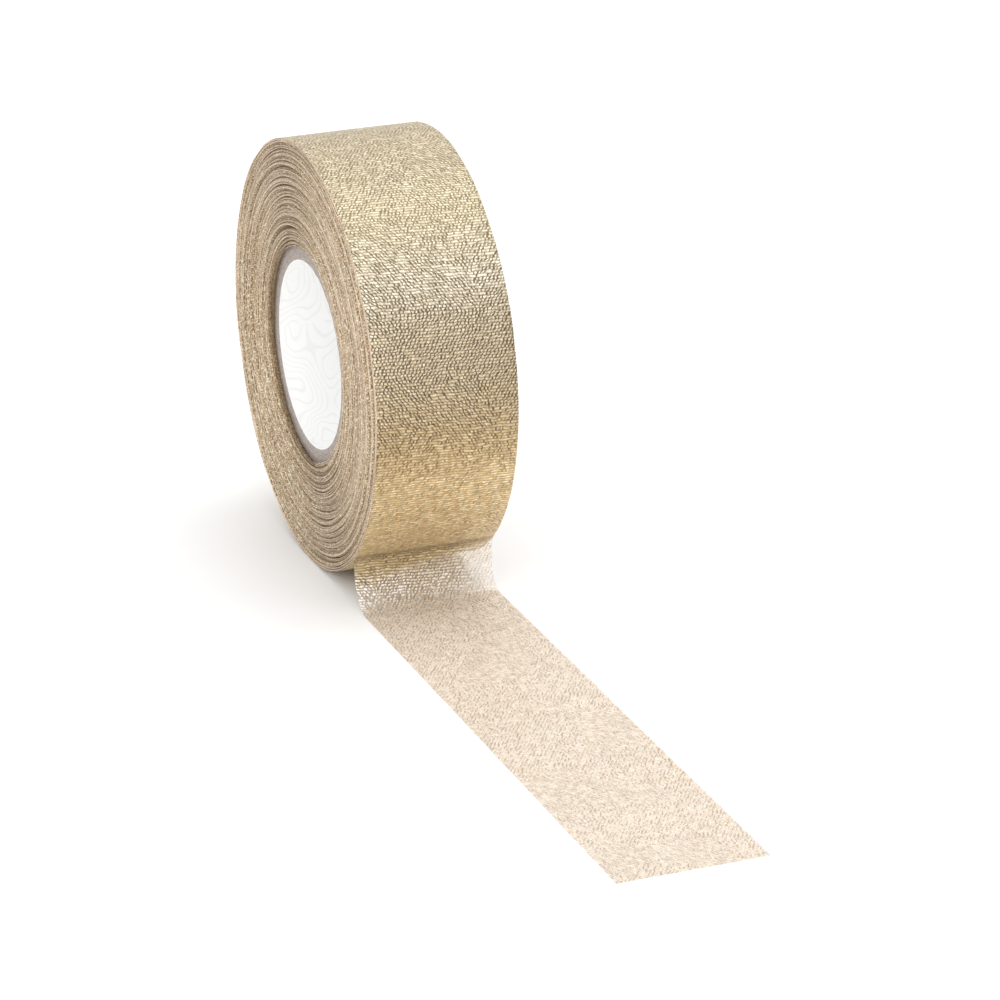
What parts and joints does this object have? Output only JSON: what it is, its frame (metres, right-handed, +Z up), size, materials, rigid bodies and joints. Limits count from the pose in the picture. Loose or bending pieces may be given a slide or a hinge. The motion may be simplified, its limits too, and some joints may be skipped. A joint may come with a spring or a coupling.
{
  "type": "ribbon spool",
  "caption": "Roll of narrow metallic gift ribbon wound on a paper-lined board core, standing on its tread with the free end drawn forward flat on the table.",
  "frame": {"origin": "middle of the flat on which the roll stands, straight below the core's axis", "axes": "+X along the core's axis; -Y the way the ribbon's free end is pulled; +Z up"},
  "size_m": [0.0254, 0.177, 0.075],
  "materials": {
    "liner_paper": "smooth white paper with a faint wood-grain relief",
    "core_board": "grey recycled paperboard, matte",
    "tape_film": "thin translucent adhesive film, satin",
    "wound_ribbon": "pale gold metallic weave, glittering",
    "free_ribbon": "one sheer layer of the same pale gold metallic weave"
  },
  "bodies": {
    "lay_off": {"ribbon_bend": "free_ribbon"},
    "roll": {"core_liner": "liner_paper", "core_inner_ply": "core_board", "core_middle_ply": "core_board", "core_outer_ply": "core_board", "start_tape": "tape_film", "ribbon_inner_turns": "wound_ribbon", "ribbon_middle_turns": "wound_ribbon", "ribbon_outer_turns": "wound_ribbon", "ribbon_last_turn": "wound_ribbon"},
    "tail": {"ribbon_tail": "free_ribbon"}
  },
  "joints": [
    {"name": "roll_spin", "type": "hinge", "parent": "lay_off", "child": "roll", "pos_m": [0, 0, 0.0375], "axis": [1, 0, 0], "range_deg": [0, 360]},
    {"name": "pull_out", "type": "slide", "parent": "lay_off", "child": "tail", "axis": [0, -1, 0], "range_m": [0, 0.236]}
  ],
  "couplings": [
    {"joint": "pull_out", "follows": "roll_spin", "m_per_rad": 0.0375}
  ]
}
